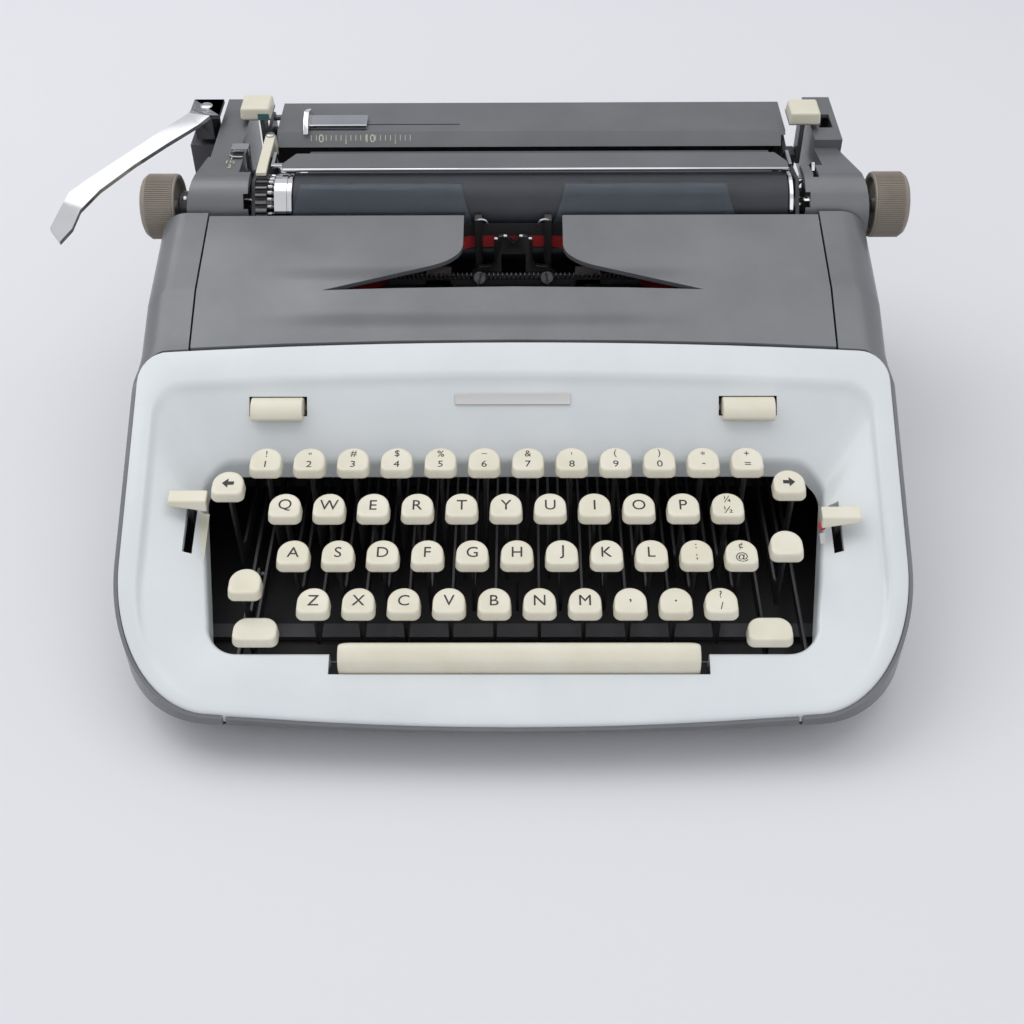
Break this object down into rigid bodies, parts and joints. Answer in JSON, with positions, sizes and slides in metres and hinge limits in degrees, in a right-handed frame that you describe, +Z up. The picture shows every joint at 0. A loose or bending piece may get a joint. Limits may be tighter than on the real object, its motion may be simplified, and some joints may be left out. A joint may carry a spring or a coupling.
{
  "type": "manual typewriter",
  "caption": "Grey manual typewriter with a white keyboard bezel, cream keys, a hinged ribbon cover, and a sliding carriage with platen, knobs, paper bail and return lever.",
  "frame": {"origin": "centre of the bounding box at the table top, under the four feet", "axes": "+Z up, -Y towards the typist, +X to the right-hand end of the carriage"},
  "size_m": [0.4118, 0.3314, 0.1422],
  "materials": {
    "casing_grey": "stoved grey enamel",
    "bezel_white": "stoved blue-white enamel",
    "key_cream": "moulded cream plastic",
    "knob_taupe": "moulded taupe plastic",
    "black_steel": "black oxide and enamel",
    "chrome_plate": "polished",
    "bright_steel": "brushed",
    "platen_rubber": "ground blue-black rubber",
    "foot_rubber": "moulded black rubber",
    "ribbon_cloth": "inked woven ribbon, black over red",
    "clear_plastic": "clear"
  },
  "bodies": {
    "base": {"base_pan": "casing_grey", "body_shell": "casing_grey", "keyboard_bezel": "bezel_white", "foot_front_left": "foot_rubber", "foot_front_right": "foot_rubber", "foot_rear_left": "foot_rubber", "foot_rear_right": "foot_rubber", "main_frame": "black_steel", "carriage_rail": "bright_steel", "fulcrum_rod": "bright_steel", "type_guide": "black_steel", "card_holder_left": "clear_plastic", "card_holder_right": "clear_plastic"},
    "ribbon_cover_body": {"ribbon_cover": "casing_grey"},
    "ribbon_vibrator_body": {"ribbon_vibrator": "bright_steel", "ribbon": "ribbon_cloth"},
    "spool_left_body": {"spool_left": "black_steel"},
    "spool_right_body": {"spool_right": "black_steel"},
    "type_segment_body": {"type_segment": "black_steel"},
    "key_set_01_body": {"key_set_01": "key_cream"},
    "key_set_02_body": {"key_set_02": "key_cream"},
    "key_set_03_body": {"key_set_03": "key_cream"},
    "key_set_04_body": {"key_set_04": "key_cream"},
    "key_set_05_body": {"key_set_05": "key_cream"},
    "key_set_06_body": {"key_set_06": "key_cream"},
    "key_set_07_body": {"key_set_07": "key_cream"},
    "key_set_08_body": {"key_set_08": "key_cream"},
    "key_set_09_body": {"key_set_09": "key_cream"},
    "key_set_10_body": {"key_set_10": "key_cream"},
    "key_set_11_body": {"key_set_11": "key_cream"},
    "space_bar_body": {"space_bar": "key_cream"},
    "shift_key_left_body": {"shift_key_left": "key_cream"},
    "shift_lock_body": {"shift_lock": "key_cream"},
    "shift_key_right_body": {"shift_key_right": "key_cream"},
    "backspace_key_body": {"backspace_key": "key_cream"},
    "tab_key_body": {"tab_key": "key_cream"},
    "margin_release_key_body": {"margin_release_key": "key_cream"},
    "column_clear_key_body": {"column_clear_key": "key_cream"},
    "column_set_key_body": {"column_set_key": "key_cream"},
    "touch_lever_body": {"touch_lever": "key_cream"},
    "ribbon_selector_body": {"ribbon_selector": "key_cream"},
    "carriage_body": {"carriage_truck": "black_steel", "left_end_cover": "casing_grey", "right_end_cover": "casing_grey", "paper_pan": "black_steel"},
    "platen_body": {"platen": "platen_rubber", "platen_shaft": "chrome_plate", "left_knob": "knob_taupe", "right_knob": "knob_taupe", "line_space_ratchet": "bright_steel"},
    "feed_roller_body": {"feed_roller": "platen_rubber"},
    "paper_table_body": {"paper_table": "casing_grey"},
    "paper_guide_body": {"paper_guide": "chrome_plate"},
    "paper_bail_body": {"paper_bail": "casing_grey"},
    "return_lever_body": {"return_lever": "chrome_plate"},
    "platen_release_lever_body": {"platen_release_lever": "key_cream"},
    "line_space_selector_body": {"line_space_selector": "chrome_plate"},
    "paper_release_lever_body": {"paper_release_lever": "chrome_plate"},
    "margin_key_left_body": {"margin_key_left": "key_cream"},
    "margin_key_right_body": {"margin_key_right": "key_cream"}
  },
  "joints": [
    {"name": "ribbon_cover_hinge", "type": "hinge", "parent": "base", "child": "ribbon_cover_body", "pos_m": [0.0131, 0.0621, 0.1212], "axis": [1, 0, 0], "range_deg": [-65, 0]},
    {"name": "carriage_slide", "type": "slide", "parent": "base", "child": "carriage_body", "axis": [1, 0, 0], "range_m": [-0.1, 0.1]},
    {"name": "platen_spin", "type": "hinge", "parent": "carriage_body", "child": "platen_body", "pos_m": [0.0131, 0.0857, 0.117], "axis": [1, 0, 0], "continuous": true},
    {"name": "paper_table_hinge", "type": "hinge", "parent": "carriage_body", "child": "paper_table_body", "pos_m": [0.0131, 0.1587, 0.126], "axis": [1, 0, 0], "range_deg": [-60, 0]},
    {"name": "paper_bail_pivot", "type": "hinge", "parent": "carriage_body", "child": "paper_bail_body", "pos_m": [0.0131, 0.1187, 0.114], "axis": [1, 0, 0], "range_deg": [-35, 0]},
    {"name": "return_lever_pivot", "type": "hinge", "parent": "carriage_body", "child": "return_lever_body", "pos_m": [-0.1454, 0.1452, 0.1372], "axis": [0, 0, 1], "range_deg": [0, 25], "stiffness_Nm_per_rad": 0.4, "springref_deg": -5.73},
    {"name": "key_set_06_press", "type": "hinge", "parent": "base", "child": "key_set_06_body", "pos_m": [0.0131, 0.0717, 0.03], "axis": [1, 0, 0], "range_deg": [0, 4], "stiffness_Nm_per_rad": 0.4, "springref_deg": -11.46},
    {"name": "space_bar_press", "type": "hinge", "parent": "base", "child": "space_bar_body", "pos_m": [0.0131, 0.0717, 0.03], "axis": [1, 0, 0], "range_deg": [0, 2.2], "stiffness_Nm_per_rad": 0.8, "springref_deg": -11.46},
    {"name": "type_segment_shift", "type": "slide", "parent": "base", "child": "type_segment_body", "axis": [0, 0, 1], "range_m": [-0.0065, 0], "stiffness_N_per_m": 60, "springref_m": 0.035},
    {"name": "shift_lock_press", "type": "hinge", "parent": "shift_key_left_body", "child": "shift_lock_body", "pos_m": [0.0131, -0.0833, 0.03], "axis": [1, 0, 0], "range_deg": [0, 3], "stiffness_Nm_per_rad": 0.05, "springref_deg": -11.46},
    {"name": "ribbon_vibrator_lift", "type": "slide", "parent": "base", "child": "ribbon_vibrator_body", "axis": [0, 0, 1], "range_m": [0, 0.005]},
    {"name": "touch_lever_pivot", "type": "hinge", "parent": "base", "child": "touch_lever_body", "pos_m": [-0.12851, -0.0716, 0.0212], "axis": [1, 0, 0], "range_deg": [0, 20]},
    {"name": "ribbon_selector_pivot", "type": "hinge", "parent": "base", "child": "ribbon_selector_body", "pos_m": [0.15471, -0.0716, 0.0212], "axis": [1, 0, 0], "range_deg": [-8, 8]},
    {"name": "margin_key_left_press", "type": "slide", "parent": "carriage_body", "child": "margin_key_left_body", "axis": [0, 0, 1], "range_m": [-0.0022, 0], "stiffness_N_per_m": 200, "springref_m": 0.002},
    {"name": "margin_key_right_press", "type": "slide", "parent": "carriage_body", "child": "margin_key_right_body", "axis": [0, 0, 1], "range_m": [-0.0022, 0], "stiffness_N_per_m": 200, "springref_m": 0.002},
    {"name": "paper_guide_slide", "type": "slide", "parent": "paper_table_body", "child": "paper_guide_body", "axis": [1, 0, 0], "range_m": [0, 0.05]},
    {"name": "platen_release_pivot", "type": "hinge", "parent": "carriage_body", "child": "platen_release_lever_body", "pos_m": [0.0131, 0.1237, 0.125], "axis": [1, 0, 0], "range_deg": [-8, 0]},
    {"name": "line_space_selector_pivot", "type": "hinge", "parent": "carriage_body", "child": "line_space_selector_body", "pos_m": [0.0131, 0.1047, 0.108], "axis": [1, 0, 0], "range_deg": [-10, 10]},
    {"name": "paper_release_pivot", "type": "hinge", "parent": "carriage_body", "child": "paper_release_lever_body", "pos_m": [0.0131, 0.1227, 0.108], "axis": [1, 0, 0], "range_deg": [0, 10]},
    {"name": "backspace_key_press", "type": "hinge", "parent": "base", "child": "backspace_key_body", "pos_m": [0.0131, 0.0717, 0.03], "axis": [1, 0, 0], "range_deg": [0, 4], "stiffness_Nm_per_rad": 0.2, "springref_deg": -8.59},
    {"name": "tab_key_press", "type": "hinge", "parent": "base", "child": "tab_key_body", "pos_m": [0.0131, 0.0717, 0.03], "axis": [1, 0, 0], "range_deg": [0, 4], "stiffness_Nm_per_rad": 0.2, "springref_deg": -8.59},
    {"name": "margin_release_key_press", "type": "hinge", "parent": "base", "child": "margin_release_key_body", "pos_m": [0.0131, 0.0717, 0.03], "axis": [1, 0, 0], "range_deg": [0, 4], "stiffness_Nm_per_rad": 0.2, "springref_deg": -8.59},
    {"name": "column_clear_key_rock", "type": "hinge", "parent": "base", "child": "column_clear_key_body", "pos_m": [-0.09241, -0.02674, 0.08066], "axis": [1, 0, 0], "range_deg": [-4, 2], "stiffness_Nm_per_rad": 0.05},
    {"name": "column_set_key_rock", "type": "hinge", "parent": "base", "child": "column_set_key_body", "pos_m": [0.11861, -0.02674, 0.08066], "axis": [1, 0, 0], "range_deg": [-4, 2], "stiffness_Nm_per_rad": 0.05},
    {"name": "spool_left_spin", "type": "hinge", "parent": "base", "child": "spool_left_body", "pos_m": [-0.0849, 0.0277, 0.0878], "axis": [0, 0, 1], "continuous": true},
    {"name": "key_set_01_press", "type": "hinge", "parent": "base", "child": "key_set_01_body", "pos_m": [0.0131, 0.0717, 0.03], "axis": [1, 0, 0], "range_deg": [0, 4], "stiffness_Nm_per_rad": 0.4, "springref_deg": -11.46},
    {"name": "key_set_02_press", "type": "hinge", "parent": "base", "child": "key_set_02_body", "pos_m": [0.0131, 0.0717, 0.03], "axis": [1, 0, 0], "range_deg": [0, 4], "stiffness_Nm_per_rad": 0.4, "springref_deg": -11.46},
    {"name": "key_set_03_press", "type": "hinge", "parent": "base", "child": "key_set_03_body", "pos_m": [0.0131, 0.0717, 0.03], "axis": [1, 0, 0], "range_deg": [0, 4], "stiffness_Nm_per_rad": 0.4, "springref_deg": -11.46},
    {"name": "key_set_04_press", "type": "hinge", "parent": "base", "child": "key_set_04_body", "pos_m": [0.0131, 0.0717, 0.03], "axis": [1, 0, 0], "range_deg": [0, 4], "stiffness_Nm_per_rad": 0.4, "springref_deg": -11.46},
    {"name": "key_set_05_press", "type": "hinge", "parent": "base", "child": "key_set_05_body", "pos_m": [0.0131, 0.0717, 0.03], "axis": [1, 0, 0], "range_deg": [0, 4], "stiffness_Nm_per_rad": 0.4, "springref_deg": -11.46},
    {"name": "key_set_07_press", "type": "hinge", "parent": "base", "child": "key_set_07_body", "pos_m": [0.0131, 0.0717, 0.03], "axis": [1, 0, 0], "range_deg": [0, 4], "stiffness_Nm_per_rad": 0.4, "springref_deg": -11.46},
    {"name": "key_set_08_press", "type": "hinge", "parent": "base", "child": "key_set_08_body", "pos_m": [0.0131, 0.0717, 0.03], "axis": [1, 0, 0], "range_deg": [0, 4], "stiffness_Nm_per_rad": 0.4, "springref_deg": -11.46},
    {"name": "key_set_09_press", "type": "hinge", "parent": "base", "child": "key_set_09_body", "pos_m": [0.0131, 0.0717, 0.03], "axis": [1, 0, 0], "range_deg": [0, 4], "stiffness_Nm_per_rad": 0.4, "springref_deg": -11.46},
    {"name": "key_set_10_press", "type": "hinge", "parent": "base", "child": "key_set_10_body", "pos_m": [0.0131, 0.0717, 0.03], "axis": [1, 0, 0], "range_deg": [0, 4], "stiffness_Nm_per_rad": 0.4, "springref_deg": -11.46},
    {"name": "key_set_11_press", "type": "hinge", "parent": "base", "child": "key_set_11_body", "pos_m": [0.0131, 0.0717, 0.03], "axis": [1, 0, 0], "range_deg": [0, 4], "stiffness_Nm_per_rad": 0.4, "springref_deg": -11.46},
    {"name": "shift_key_left_press", "type": "hinge", "parent": "base", "child": "shift_key_left_body", "pos_m": [0.0131, 0.0717, 0.03], "axis": [1, 0, 0], "range_deg": [0, 1.9]},
    {"name": "shift_key_right_press", "type": "hinge", "parent": "base", "child": "shift_key_right_body", "pos_m": [0.0131, 0.0717, 0.03], "axis": [1, 0, 0], "range_deg": [0, 1.9]},
    {"name": "feed_roller_spin", "type": "hinge", "parent": "carriage_body", "child": "feed_roller_body", "pos_m": [0.0131, 0.0797, 0.09552], "axis": [1, 0, 0], "continuous": true},
    {"name": "spool_right_spin", "type": "hinge", "parent": "base", "child": "spool_right_body", "pos_m": [0.1111, 0.0277, 0.0878], "axis": [0, 0, 1], "continuous": true}
  ],
  "couplings": [
    {"joint": "shift_key_left_press", "follows": "type_segment_shift", "rad_per_m": -5},
    {"joint": "shift_key_right_press", "follows": "type_segment_shift", "rad_per_m": -5},
    {"joint": "feed_roller_spin", "follows": "platen_spin", "ratio": -2.6667},
    {"joint": "spool_right_spin", "follows": "spool_left_spin", "ratio": 1}
  ]
}
